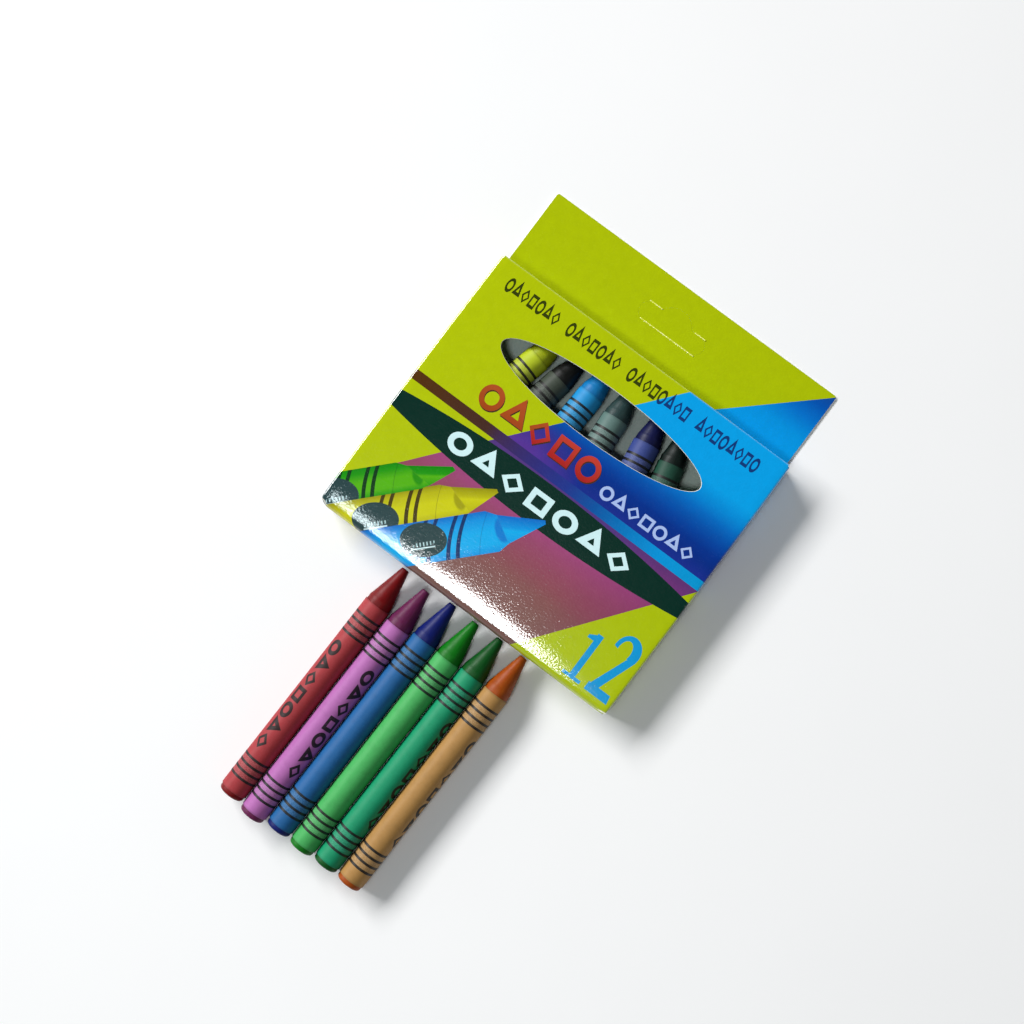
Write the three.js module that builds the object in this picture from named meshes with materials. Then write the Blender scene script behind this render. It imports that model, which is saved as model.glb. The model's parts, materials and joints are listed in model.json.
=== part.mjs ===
// A windowed hang-tab carton of wax crayons, lying on its back, with half of its crayons inside
// and the other half laid side by side in front of its bottom end.
// Millimetres. +X runs across the carton, +Y towards the hang tab, +Z up out of the printed front.
// The origin is the centre of the carton's outer back face.
import * as THREE from 'three'

// crayon
const crayonLength = 87
const labelRadius = 4.4
const paper = 0.2
const paperGap = 0.1
const buttWax = 1.8
const buttRound = 0.6
const tipWax = 13.9
const neckWax = 2.2
const neckRound = 0.2
const neckRoundLength = 0.6
const tipRadius = 1.35
const tipRound = 0.4
const roundSegments = 24

// carton, which holds a full set of crayons side by side
const setCount = 12
const board = 0.5
const creaseGap = 0.1
const slipGap = 0.15
const crayonRest = 0.3
const crayonTopGap = 0.25
const sidePlay = 1.4
const endPlay = 6

// hang tab and its scored slot
const tabHeight = 27
const tabInset = 0.5
const tabCorner = 0.8
const slotWidth = 24
const slotHeight = 6.2
const slotAboveFold = 10.8
const slotBumpHalf = 5.5
const slotBumpRise = 3.3
const scoreGap = 0.25

// oval window in the front
const windowWidth = 74
const windowHeight = 16.6
const windowCentreX = -1
const windowBelowFold = 21.8

// end flaps
const tongueLength = 8
const tongueCorner = 3
const lipLength = 9
const dustFlapLength = 9
const dustFlapTaper = 1.2
const flapSideGap = 0.4
const tongueSideGap = 0.6
const glueFlapEndGap = 5
const glueFlapTaper = 3

// crayons laid in front of the carton: colour, wax colour, how far the tip stands back
const rowSideGap = 0.2
const rowTurn = -1.15
const rowGap = 0.5
const rowStartX = -20.6
const laidCrayons = [
  ['red', 0xaf3237, 0x820000, 0.5],
  ['violet', 0xbe6eb9, 0x6e1e50, 1.9],
  ['blue', 0x1464a5, 0x00146e, 0.3],
  ['light_green', 0x46b95f, 0x007d0a, 0.6],
  ['teal', 0x009b69, 0x005514, 0.1],
  ['orange', 0xb98c4b, 0xaf4b00, 0.2]
]

// crayons in the carton: colour, wax colour, gap on its left at the label's end, lean to the right
// in degrees, and how far the lowest point of its butt stands above the bottom closure
const boxedCrayons = [
  ['yellow', 0xb9c81e, 0xa0a010, 22.2, 13.5, 2.6],
  ['black', 0x46463c, 0x191914, 0.7, 10.5, 0.4],
  ['sky_blue', 0x2d9bdc, 0x146eb4, 1.4, 2, 2.0],
  ['grey', 0x5f7d78, 0x2d4646, 1.6, -4, 0.6],
  ['navy', 0x3c4b96, 0x141e50, 3.5, -8.5, 0.3],
  ['dark_green', 0x1e4b3c, 0x0a1e19, 1.0, -12.5, 0.3]
]

const cartonWidth = setCount * 2 * labelRadius + sidePlay + 2 * board
const cartonHeight = crayonLength + endPlay + 2 * board
const liningTop = 2 * board + slipGap
const cartonDepth = liningTop + crayonRest + 2 * labelRadius + crayonTopGap + board
const bottomY = -cartonHeight / 2
const topY = cartonHeight / 2
const frontInner = cartonDepth - board
const waxRadius = labelRadius - paper - paperGap
const radians = THREE.MathUtils.degToRad

const kit = new THREE.Group()

function addMesh(parent, name, geometry, colour, roughness) {
  const material = new THREE.MeshStandardMaterial({ color: colour, roughness: roughness, metalness: 0 })
  const mesh = new THREE.Mesh(geometry, material)
  mesh.name = name
  parent.add(mesh)
  return mesh
}

function rectangle(x0, y0, x1, y1) {
  const shape = new THREE.Shape()
  shape.moveTo(x0, y0)
  shape.lineTo(x1, y0)
  shape.lineTo(x1, y1)
  shape.lineTo(x0, y1)
  shape.closePath()
  return shape
}

function sheet(shape, thickness = board, curveSegments = 12) {
  return new THREE.ExtrudeGeometry(shape, { depth: thickness, bevelEnabled: false, curveSegments })
}

// A sheet whose drawing lies in XY and which is laid at height z
function flatSheet(name, shape, z, colour, curveSegments) {
  const mesh = addMesh(kit, name, sheet(shape, board, curveSegments), colour, 0.35)
  mesh.position.z = z
  return mesh
}

// A sheet whose drawing is (x, z) and which stands across the carton, its far face at y
function endSheet(name, shape, y, colour) {
  const mesh = addMesh(kit, name, sheet(shape), colour, 0.35)
  mesh.rotation.x = Math.PI / 2
  mesh.position.y = y
  return mesh
}

// A sheet whose drawing is (z, y) and which stands along the carton, its faces at x and x + board
function sideSheet(name, shape, x, colour) {
  const mesh = addMesh(kit, name, sheet(shape), colour, 0.35)
  mesh.rotation.y = -Math.PI / 2
  mesh.position.x = x + board
  return mesh
}

// Euro hang slot: a bar with round ends and a raised middle, drawn smaller by shrink all round
function slotOutline(path, shrink) {
  const half = slotWidth / 2 - shrink
  const low = topY + slotAboveFold + shrink
  const high = topY + slotAboveFold + slotHeight - shrink
  const endRadius = (high - low) / 2
  const chord = slotBumpHalf - shrink
  const bumpRadius = (chord * chord + slotBumpRise * slotBumpRise) / (2 * slotBumpRise)
  const bumpY = high + slotBumpRise - bumpRadius
  const bumpAngle = Math.atan2(high - bumpY, chord)
  path.moveTo(-half + endRadius, low)
  path.lineTo(half - endRadius, low)
  path.absarc(half - endRadius, low + endRadius, endRadius, -Math.PI / 2, Math.PI / 2)
  path.lineTo(chord, high)
  path.absarc(0, bumpY, bumpRadius, bumpAngle, Math.PI - bumpAngle)
  path.lineTo(-half + endRadius, high)
  path.absarc(-half + endRadius, low + endRadius, endRadius, Math.PI / 2, 1.5 * Math.PI)
  return path
}

function frontPanel() {
  const shape = rectangle(-cartonWidth / 2, bottomY, cartonWidth / 2, topY)
  const hole = new THREE.Path()
  hole.absellipse(
    windowCentreX, topY - windowBelowFold, windowWidth / 2, windowHeight / 2, 0, 2 * Math.PI, true
  )
  shape.holes.push(hole)
  flatSheet('front_panel', shape, frontInner, 0xb2c600, 28)
}

// The back panel runs on past the top fold as the hang tab
function backPanel() {
  const tabTop = topY + tabHeight
  const tabHalf = cartonWidth / 2 - tabInset
  const shape = new THREE.Shape()
  shape.moveTo(-cartonWidth / 2, bottomY)
  shape.lineTo(cartonWidth / 2, bottomY)
  shape.lineTo(cartonWidth / 2, topY)
  shape.lineTo(tabHalf, topY)
  shape.lineTo(tabHalf, tabTop - tabCorner)
  shape.absarc(tabHalf - tabCorner, tabTop - tabCorner, tabCorner, 0, Math.PI / 2)
  shape.absarc(-tabHalf + tabCorner, tabTop - tabCorner, tabCorner, Math.PI / 2, Math.PI)
  shape.lineTo(-tabHalf, topY)
  shape.lineTo(-cartonWidth / 2, topY)
  shape.closePath()
  shape.holes.push(slotOutline(new THREE.Path(), 0))
  flatSheet('back_panel', shape, 0, 0xaec000, 8)
  flatSheet('hang_slot_plug', slotOutline(new THREE.Shape(), scoreGap), 0, 0xaec000, 8)
}

function sidePanels() {
  const low = board + creaseGap
  const high = frontInner - creaseGap
  const endY = topY - 2 * board - 2 * creaseGap
  const panel = rectangle(low, -endY, high, endY)
  sideSheet('left_side_panel', panel, -cartonWidth / 2, 0xa8ba00)
  sideSheet('right_side_panel', panel, cartonWidth / 2 - board, 0x0078c8)

  const flapEnd = topY - glueFlapEndGap
  const flap = new THREE.Shape()
  flap.moveTo(low, -flapEnd)
  flap.lineTo(high - slipGap, -flapEnd + glueFlapTaper)
  flap.lineTo(high - slipGap, flapEnd - glueFlapTaper)
  flap.lineTo(low, flapEnd)
  flap.closePath()
  sideSheet('glue_flap', flap, cartonWidth / 2 - 2 * board - creaseGap, 0xd8d8d0)
}

// Small flaps folded in from the side panels, under the end closures
function dustFlaps() {
  const low = liningTop + slipGap
  const high = frontInner - creaseGap
  const outer = cartonWidth / 2 - board - creaseGap
  const inner = outer - dustFlapLength
  const ends = [['top', topY - board - creaseGap], ['bottom', bottomY + 2 * board + creaseGap]]
  for (const [end, y] of ends) {
    for (const [side, sign] of [['left', -1], ['right', 1]]) {
      const flap = new THREE.Shape()
      flap.moveTo(sign * outer, low)
      flap.lineTo(sign * outer, high)
      flap.lineTo(sign * inner, high - dustFlapTaper)
      flap.lineTo(sign * inner, low + dustFlapTaper)
      flap.closePath()
      endSheet(`${end}_${side}_dust_flap`, flap, y, 0xd0d0c8)
    }
  }
}

// A lid folded down from the front panel at each end. The top one ends in a tongue that is tucked
// in along the back panel, the bottom one in a lip that is glued there.
function endClosures() {
  const half = cartonWidth / 2 - flapSideGap
  const lid = rectangle(-half, board + slipGap, half, frontInner - creaseGap)
  endSheet('top_closure', lid, topY, 0xa8ba00)
  endSheet('bottom_closure', lid, bottomY + board, 0x8a6a5a)

  const tongueHalf = cartonWidth / 2 - board - creaseGap - dustFlapLength - tongueSideGap
  const root = topY - board - creaseGap
  const end = root - tongueLength
  const tongue = new THREE.Shape()
  tongue.moveTo(-tongueHalf, root)
  tongue.absarc(-tongueHalf + tongueCorner, end + tongueCorner, tongueCorner, Math.PI, 1.5 * Math.PI)
  tongue.absarc(tongueHalf - tongueCorner, end + tongueCorner, tongueCorner, -Math.PI / 2, 0)
  tongue.lineTo(tongueHalf, root)
  tongue.closePath()
  flatSheet('top_tuck_tongue', tongue, board + slipGap, 0xd8d8d0, 6)

  const lipRoot = bottomY + board + creaseGap
  const lip = rectangle(-tongueHalf, lipRoot, tongueHalf, lipRoot + lipLength)
  flatSheet('bottom_glued_lip', lip, board + slipGap, 0xd8d8d0)
}

function waxGeometry() {
  const shoulder = crayonLength - tipWax + neckWax
  const points = [
    [0, 0],
    [waxRadius - buttRound, 0],
    [waxRadius, buttRound],
    [waxRadius, shoulder],
    [waxRadius - neckRound, shoulder + neckRoundLength],
    [tipRadius, crayonLength - tipRound],
    [tipRadius - tipRound, crayonLength],
    [0, crayonLength]
  ]
  return new THREE.LatheGeometry(points.map(([r, y]) => new THREE.Vector2(r, y)), roundSegments)
}

function labelGeometry() {
  const inner = labelRadius - paper
  const end = crayonLength - tipWax
  const points = [
    [inner, buttWax],
    [labelRadius, buttWax],
    [labelRadius, end],
    [inner, end],
    [inner, buttWax]
  ]
  return new THREE.LatheGeometry(points.map(([r, y]) => new THREE.Vector2(r, y)), roundSegments)
}

// A crayon's own axis is Y, from its butt at 0 to its tip
function addCrayon(name, labelColour, waxColour, butt, turn) {
  const crayon = new THREE.Group()
  crayon.position.copy(butt)
  crayon.rotation.z = radians(turn)
  addMesh(crayon, `crayon_${name}_wax`, waxGeometry(), waxColour, 0.4)
  addMesh(crayon, `crayon_${name}_label`, labelGeometry(), labelColour, 0.7)
  kit.add(crayon)
}

function laidRow() {
  const turn = radians(rowTurn)
  const along = new THREE.Vector3(-Math.sin(turn), Math.cos(turn), 0)
  const across = new THREE.Vector3(Math.cos(turn), Math.sin(turn), 0)
  laidCrayons.forEach(([name, label, wax, setBack], i) => {
    const tip = new THREE.Vector3(rowStartX, bottomY - rowGap, labelRadius)
    tip.addScaledVector(across, i * (2 * labelRadius + rowSideGap))
    tip.y = bottomY - rowGap - setBack
    addCrayon(name, label, wax, tip.addScaledVector(along, -crayonLength), rowTurn)
  })
}

function boxedFan() {
  const z = liningTop + crayonRest + labelRadius
  let labelEndX = board - cartonWidth / 2 - labelRadius
  for (const [name, label, wax, gap, lean, lift] of boxedCrayons) {
    const turn = radians(lean)
    labelEndX += gap + 2 * labelRadius
    const cornerDrop = waxRadius * Math.abs(Math.sin(turn))
    const y = bottomY + board + creaseGap + lift + cornerDrop
    const x = labelEndX - (crayonLength - tipWax) * Math.sin(turn)
    addCrayon(name, label, wax, new THREE.Vector3(x, y, z), -lean)
  }
}

frontPanel()
backPanel()
sidePanels()
dustFlaps()
endClosures()
boxedFan()
laidRow()

export default kit
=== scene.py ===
import bisect
import json
import math
import random

import bpy
from mathutils import Euler, Matrix, Vector
from mathutils.geometry import delaunay_2d_cdt


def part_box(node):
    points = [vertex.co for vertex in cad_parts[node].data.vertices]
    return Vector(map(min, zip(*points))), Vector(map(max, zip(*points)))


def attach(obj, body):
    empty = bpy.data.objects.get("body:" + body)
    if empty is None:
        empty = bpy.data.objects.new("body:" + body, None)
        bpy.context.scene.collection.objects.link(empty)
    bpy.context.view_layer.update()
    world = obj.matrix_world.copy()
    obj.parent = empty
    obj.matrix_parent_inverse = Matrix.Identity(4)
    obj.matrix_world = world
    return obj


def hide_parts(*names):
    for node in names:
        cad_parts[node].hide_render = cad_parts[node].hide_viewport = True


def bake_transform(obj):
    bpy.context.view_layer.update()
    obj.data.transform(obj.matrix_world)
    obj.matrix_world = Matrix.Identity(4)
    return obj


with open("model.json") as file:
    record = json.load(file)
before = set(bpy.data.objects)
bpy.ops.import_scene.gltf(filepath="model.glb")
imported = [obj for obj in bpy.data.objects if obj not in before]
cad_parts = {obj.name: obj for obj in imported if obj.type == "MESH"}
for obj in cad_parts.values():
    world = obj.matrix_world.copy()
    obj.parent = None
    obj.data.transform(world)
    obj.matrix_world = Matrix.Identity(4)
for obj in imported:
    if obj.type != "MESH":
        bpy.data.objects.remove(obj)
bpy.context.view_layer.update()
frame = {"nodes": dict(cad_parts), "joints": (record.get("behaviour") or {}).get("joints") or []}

mm = 0.001
nodes = frame["nodes"]
joints = {joint["child"]: joint for joint in frame["joints"]}


def boxOf(node):
    # a CAD node's box in millimetres
    low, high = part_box(node)
    return low * 1000, high * 1000


frontLow, frontHigh = boxOf("front_panel")
backLow, backHigh = boxOf("back_panel")
plugLow, plugHigh = boxOf("hang_slot_plug")
lidLow, lidHigh = boxOf("top_closure")
tongueLow, tongueHigh = boxOf("top_tuck_tongue")
lipLow, lipHigh = boxOf("bottom_glued_lip")
flapHigh = boxOf("top_left_dust_flap")[1]

carton = {
    "half": frontHigh.x,
    "end": frontHigh.y,
    "face": frontHigh.z,
    "board": frontHigh.z - frontLow.z,
    "bow": 0.3,          # how far the long sides swell at mid length
    "crown": 0.2,        # how far the front swells in its middle
    "frontFold": 0.7,    # outside rounding of the long folds
    "backFold": 0.9,
    "lidFold": 0.8,      # the same where the lid leaves the front
    "flapFold": 0.5,     # and where a flap turns in
    "frontSeam": 9.3,    # height where the front's own strip of side wall ends
    "lidGap": 0.5,       # from the lid's free edge up to its fold
    "grid": 2.0,         # spacing of the points over the front and the sides
    "wallGrid": 0.9,     # and down the end walls
}
rimPoints = [
    v.co * 1000 for v in nodes["front_panel"].data.vertices
    if abs(v.co.x) * 1000 < carton["half"] - 1 and abs(v.co.y) * 1000 < carton["end"] - 1
]
rimX = [p.x for p in rimPoints]
rimY = [p.y for p in rimPoints]
window = {
    "x": (min(rimX) + max(rimX)) / 2,
    "y": (min(rimY) + max(rimY)) / 2,
    "halfWidth": (max(rimX) - min(rimX)) / 2,
    "halfHeight": (max(rimY) - min(rimY)) / 2,
    "edge": 0.16,        # width of the white cut edge pressed over by the die
    "edgeDrop": 0.14,
    "clear": 1.0,        # ring round the window without grid points
    "steps": 132,
}
tabHalf = max(v.co.x for v in nodes["back_panel"].data.vertices if v.co.y > frontHigh.y * mm + mm) * 1000


def linear(colour, gain=1.0):
    # a colour from 0 to 255 to the linear one a shader wants
    def one(value):
        value = value / 255
        return value / 12.92 if value <= 0.04045 else ((value + 0.055) / 1.055) ** 2.4
    return tuple(one(value) * gain for value in colour) + (1.0,)


def toned(colour, factor, plus=0):
    return tuple(min(255, c * factor + plus) for c in colour)


def put(tree, value, socket):
    value = value.socket if isinstance(value, Value) else value
    if isinstance(value, bpy.types.NodeSocket):
        tree.links.new(value, socket)
    else:
        socket.default_value = value


def addNode(tree, kind, inputs={}, **settings):
    node = tree.nodes.new(kind)
    for key, value in settings.items():
        setattr(node, key, value)
    for key, value in inputs.items():
        put(tree, value, node.inputs[key])
    return node


class Value:
    # A node's output that can be written into sums. As a distance it is above 0 inside a shape:
    # & is what lies inside both shapes, | what lies inside either.
    def __init__(self, maker, socket):
        self.maker = maker
        self.socket = socket

    def __add__(self, other):
        return self.maker.math("ADD", self, other)

    def __sub__(self, other):
        return self.maker.math("SUBTRACT", self, other)

    def __rsub__(self, other):
        return self.maker.math("SUBTRACT", other, self)

    def __mul__(self, other):
        return self.maker.math("MULTIPLY", self, other)

    def __abs__(self):
        return self.maker.math("ABSOLUTE", self)

    def __and__(self, other):
        return self.maker.math("MINIMUM", self, other)

    def __or__(self, other):
        return self.maker.math("MAXIMUM", self, other)

    def scaled(self, factor, plus):
        return self.maker.math("MULTIPLY_ADD", self, factor, plus)

    def mask(self, soft=0.06):
        # 1 where the distance is above 0, with an edge as soft as ink on coated board
        return self.maker.math("MULTIPLY_ADD", self, 1 / soft, 0.5, clamp=True)

    def between(self, low, high):
        # 0 at low, 1 at high, and held there beyond them
        return self.maker.add("ShaderNodeMapRange", {0: self, 1: low, 2: high})


class Maker:
    # Builds one material. place is Object coordinates in millimetres, x and y its parts,
    # and colour what the layers painted so far add up to.
    names = {"coat": "Coat Weight", "coatIor": "Coat IOR", "coatRoughness": "Coat Roughness",
             "specular": "Specular IOR Level", "subsurface": "Subsurface Weight",
             "subsurfaceScale": "Subsurface Scale"}

    def __init__(self, name, gain=1.0):
        self.material = bpy.data.materials.new(name)
        self.material.use_nodes = True
        self.tree = self.material.node_tree
        self.gain = gain
        self.colour = None
        coordinate = addNode(self.tree, "ShaderNodeTexCoord").outputs["Object"]
        self.place = self.add("ShaderNodeVectorMath", {0: coordinate, "Scale": 1000}, operation="SCALE")
        self.x, self.y = self.split(self.place)

    def add(self, kind, inputs={}, output=0, **settings):
        return Value(self, addNode(self.tree, kind, inputs, **settings).outputs[output])

    def split(self, vector):
        apart = addNode(self.tree, "ShaderNodeSeparateXYZ", {0: vector})
        return Value(self, apart.outputs[0]), Value(self, apart.outputs[1])

    def math(self, operation, *values, clamp=False):
        return self.add("ShaderNodeMath", dict(enumerate(values)), operation=operation, use_clamp=clamp)

    def length(self, first, second):
        return self.math("SQRT", first.scaled(first, second * second))

    def tint(self, colour):
        # three numbers are a colour from 0 to 255, four are linear already
        return linear(colour, self.gain) if isinstance(colour, tuple) and len(colour) == 3 else colour

    def mix(self, factor, first, second):
        inputs = {0: factor, 6: self.tint(first), 7: self.tint(second)}
        return self.add("ShaderNodeMix", inputs, 2, data_type="RGBA")

    def paint(self, factor, colour):
        self.colour = self.mix(factor, self.colour, colour)

    def ramp(self, value, stops):
        # stops are (place, colour), with places in the value's own unit
        low, high = stops[0][0], stops[-1][0]
        node = addNode(self.tree, "ShaderNodeValToRGB", {0: value.between(low, high)})
        elements = node.color_ramp.elements
        while len(elements) < len(stops):
            elements.new(0.5)
        for element, (place, colour) in zip(elements, stops):
            element.position = (place - low) / (high - low)
            element.color = self.tint(colour)
        return Value(self, node.outputs[0])

    def noise(self, scale, detail=2.0, roughness=0.5, vector=None):
        inputs = {"Vector": vector or self.place, "Scale": scale, "Detail": detail, "Roughness": roughness}
        return self.add("ShaderNodeTexNoise", inputs)

    def stretched(self, vector, scale):
        return self.add("ShaderNodeMapping", {"Vector": vector, "Scale": scale})

    def wrap(self):
        # the crayons' own map: once round, then along
        return self.add("ShaderNodeUVMap", uv_map="wrap")

    def halfPlane(self, start, end):
        # distance to the right of the line from start to end
        dx, dy = end[0] - start[0], end[1] - start[1]
        size = math.hypot(dx, dy)
        a, b = dy / size, -dx / size
        return self.y.scaled(b, self.x.scaled(a, -(start[0] * a + start[1] * b)))

    def polygon(self, corners):
        # convex, with corners that run clockwise
        edges = [self.halfPlane(start, end) for start, end in zip(corners, corners[1:] + corners[:1])]
        inside = edges[0]
        for edge in edges[1:]:
            inside = inside & edge
        return inside

    def ellipse(self, centre, radii, turn=0.0):
        c, s = math.cos(math.radians(turn)), math.sin(math.radians(turn))
        dx, dy = self.x - centre[0], self.y - centre[1]
        along = dx.scaled(c / radii[0], dy * (s / radii[0]))
        across = dx.scaled(-s / radii[1], dy * (c / radii[1]))
        return self.length(along, across).scaled(-min(radii), min(radii))

    def bump(self, height, strength, distance, under=None):
        inputs = {"Strength": strength, "Distance": distance, "Height": height}
        if under:
            inputs["Normal"] = under
        return self.add("ShaderNodeBump", inputs)

    def finish(self, roughness, normal=None, **fixed):
        inputs = {"Base Color": self.colour, "Roughness": roughness}
        if normal:
            inputs.update({"Normal": normal, "Coat Normal": normal})
        inputs.update({self.names[key]: value for key, value in fixed.items()})
        for key, value in inputs.items():
            put(self.tree, value, self.tree.nodes["Principled BSDF"].inputs[key])
        return self.material


def shapeRow(maker, x, y, row):
    # A row of plain outlined shapes as one inside distance. stroke is a share of the half height,
    # fill how much of its cell a shape takes, and blank lists the cells left empty.
    cell = x.between(row["left"], row["right"]) * row["count"]
    number = maker.math("FLOOR", cell)
    reach = 2 * row.get("fill", 1.12)
    cx = maker.math("FRACT", cell).scaled(reach, -reach / 2)
    middle, half = (row["low"] + row["high"]) / 2, (row["high"] - row["low"]) / 2
    cy = y.scaled(1 / half, -middle / half)
    ax, ay = abs(cx), abs(cy)
    ring = maker.length(cx, cy)
    square = (ax | ay) * 1.08
    lozenge = ax + ay
    triangle = (ax.scaled(0.88, cy * 0.45) | cy * -1) + 0.34
    kinds = [ring, square, lozenge, triangle]
    skip = 3  # every third kind, so that neighbours differ
    turn = maker.math("MODULO", number * skip, len(kinds))
    radius = None
    for index, kind in enumerate(kinds):
        chosen = kind * maker.math("COMPARE", turn, index, 0.1)
        radius = radius + chosen if radius else chosen
    thick = row["stroke"] / 2
    inside = (thick - abs(radius - (1 - thick))) * half
    inside = inside & x - row["left"] & row["right"] - x
    for blank in row.get("blank", ()):
        inside = inside - maker.math("COMPARE", number, blank, 0.1) * 10.0
    return inside


printGain = 1.08
ground = (180, 197, 0)
artwork = {
    "diagonal": ((-34.2, -14.4), (16.9, 47.3)),
    "tabDiagonal": ((26.2, 48.9), (53.6, 73.9)),
    "cornerDiagonal": ((18.6, -46.7), (53.9, -0.5)),
    "stripe": (-0.1, 3.2),
    "lensMiddle": -7.4,
    "lensHalf": 6.7,
    "lensEnd": 2.8,
    "lensColour": (0, 44, 34),
    "smallRow": {"left": -48.0, "right": 46.6, "low": 38.0, "high": 42.9, "count": 33, "stroke": 0.44,
                 "blank": (7, 15, 24), "fill": 1.16},
    "redRow": {"left": -35.0, "right": 10.4, "low": 5.5, "high": 13.8, "count": 5, "stroke": 0.42,
               "fill": 1.16},
    "lilacRow": {"left": 12.3, "right": 47.0, "low": 4.9, "high": 9.4, "count": 7, "stroke": 0.42},
    "whiteRow": {"left": -34.6, "right": 34.6, "low": -10.8, "high": -3.8, "count": 7, "stroke": 0.48,
                 "fill": 1.2},
    "sky": [(4, (22, 46, 142)), (8, (3, 45, 134)), (11, (0, 50, 142)), (14, (0, 67, 160)), (17, (0, 86, 176)),
            (20, (0, 108, 196)), (24, (0, 141, 219)), (28.5, (2, 163, 235))],
    "rose": [(-46, (118, 84, 76)), (-36, (128, 86, 80)), (-30, (134, 81, 80)), (-26, (141, 74, 85)),
             (-22, (147, 72, 94)), (-18, (153, 71, 106)), (-13, (161, 70, 124)), (-6, (120, 56, 140)),
             (-1, (84, 54, 128))],
    "stripeColours": [(-52, (84, 48, 8)), (-26, (70, 42, 34)), (-20, (62, 42, 88)), (-6, (46, 46, 126)),
                      (4, (32, 54, 142)), (14, (8, 84, 162)), (26, (0, 122, 194)), (38, (0, 150, 220)),
                      (52, (0, 152, 212))],
    "tabSky": [(48, (0, 158, 230)), (57, (0, 149, 224)), (63.5, (0, 115, 205)), (69, (0, 84, 178)),
               (74, (16, 70, 150))],
}
picturedCrayons = [  # drawn in this order, the later ones over the earlier
    {"tip": ((-12.6, -11.6), (-11.6, -12.2)), "cone": ((-24.2, -19.4), (-14.9, -22.0)),
     "neck": ((-27.4, -21.0), (-15.3, -23.2)), "size": 1.0, "oval": (-36.6, -41.0),
     "colours": ((150, 146, 0), (206, 206, 4), (186, 184, 4)), "band": (70, 58, 0)},
    {"tip": ((-27.3, -14.1), (-26.0, -14.6)), "cone": ((-38.7, -22.2), (-29.6, -22.9)),
     "neck": ((-42.0, -23.5), (-31.2, -25.4)), "size": 1.0, "oval": (-50.8, -42.4),
     "colours": ((4, 136, 0), (84, 180, 4), (30, 152, 2)), "band": (0, 56, 14)},
    {"tip": ((4.8, -10.4), (5.6, -11.3)), "cone": ((-7.9, -17.8), (0.2, -22.6)),
     "neck": ((-11.6, -19.1), (-0.6, -26.2)), "size": 1.06, "oval": (-21.2, -37.2),
     "colours": ((0, 108, 200), (0, 174, 238), (0, 150, 226)), "band": (0, 48, 104)},
]
picturedShape = {  # what the drawn crayons share
    "lean": 46,                        # degrees
    "far": 60,                         # how far the body runs on below the neck
    "bands": (23.4, 26.0, 31.4, 34.2),  # down from the tip
    "bandHalf": 0.58,
    "bandLean": (0.894, 0.447),        # the way the bands face
    "bandCurve": -0.018,
    "paperEdge": 17.4,
    "ovalRadii": (7.2, 5.2),
    "ovalTurn": 34,
}
countStrokes = [  # the plain count: stem, foot and flag of the 1, neck and base of the 2
    [(38.0, -28.0), (40.0, -28.0), (40.0, -43.6), (38.0, -43.6)],
    [(35.7, -42.7), (42.2, -42.7), (42.2, -43.8), (35.7, -43.8)],
    [(35.8, -29.8), (39.0, -28.0), (39.0, -30.6), (35.8, -30.8)],
    [(49.3, -29.4), (52.1, -28.6), (47.0, -42.6), (44.1, -42.6)],
    [(44.1, -41.0), (51.9, -41.0), (52.4, -43.8), (44.1, -43.8)],
]


def printedCrayon(maker, picture):
    # One drawn crayon: body, neck and cone in flat tints with a light streak, two pairs of bands and an oval
    shape, size = picturedShape, picture["size"]
    c, s = math.cos(math.radians(shape["lean"])), math.sin(math.radians(shape["lean"]))
    far = shape["far"] * size
    tipLeft, tipRight = picture["tip"]
    coneLeft, coneRight = picture["cone"]
    neckLeft, neckRight = picture["neck"]
    farLeft, farRight = [(x - far * c, y - far * s) for x, y in picture["neck"]]
    dark, light, shade = picture["colours"]
    cone = maker.polygon([coneLeft, tipLeft, tipRight, coneRight])
    body = maker.polygon([neckLeft, coneLeft, coneRight, neckRight, farRight, farLeft])
    across = maker.halfPlane(farLeft, neckLeft)
    width = (neckRight[0] - neckLeft[0]) * s - (neckRight[1] - neckLeft[1]) * c
    maker.paint(body.mask(), maker.ramp(across, [
        (0, dark), (width * 0.2, shade), (width * 0.5, light), (width * 0.8, light), (width, shade)]))
    # the bands lean across the body and curve a little
    leanX, leanY = shape["bandLean"]
    slant = maker.x.scaled(leanX, maker.y * leanY)
    start = (tipLeft[0] + tipRight[0]) / 2 * leanX + (tipLeft[1] + tipRight[1]) / 2 * leanY
    middle = across - width / 2
    down = start - (middle * middle).scaled(shape["bandCurve"], slant)
    for place in shape["bands"]:
        maker.paint((body & shape["bandHalf"] - abs(down - place * size)).mask(), picture["band"])
    paperEdge = 0.08 - abs(down - shape["paperEdge"] * size)
    maker.paint((body & paperEdge).mask() * 0.5, picture["band"])
    # the oval, with a rule and a row of ticks in place of words
    ox, oy = picture["oval"]
    oval = body & maker.ellipse((ox, oy), shape["ovalRadii"], shape["ovalTurn"])
    maker.paint(oval.mask(), (38, 66, 68))
    low, high = (ox - 1.2, oy - 4.4), (ox + 3.9, oy + 0.8)
    rule = maker.polygon([low, high, (ox + 4.2, oy + 0.5), (ox - 0.9, oy - 4.7)])
    maker.paint((oval & rule).mask(0.12), (205, 232, 235))
    ticks = 0.28 - abs(maker.math("WRAP", maker.x + maker.y, 0.75, -0.75))
    strip = 0.55 - abs(maker.halfPlane(low, high) + 0.95)
    ends = maker.x - (ox - 1.4) & ox + 3.2 - maker.x
    maker.paint((ticks & strip & ends & oval).mask(0.2), (180, 212, 215))
    # the darker throat under the cone, then the cone itself
    throat = ((coneLeft[0] + coneRight[0]) / 2, (coneLeft[1] + coneRight[1]) / 2 - 0.3)
    throat = body & maker.ellipse(throat, (width * 0.3, width * 0.17), -38)
    maker.paint(throat.mask(0.6) * 0.8, dark)
    maker.paint(cone.mask(), maker.ramp(maker.halfPlane(coneLeft, tipLeft), [
        (0, dark), (width * 0.26, shade), (width * 0.34, light), (width * 0.7, shade)]))


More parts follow.
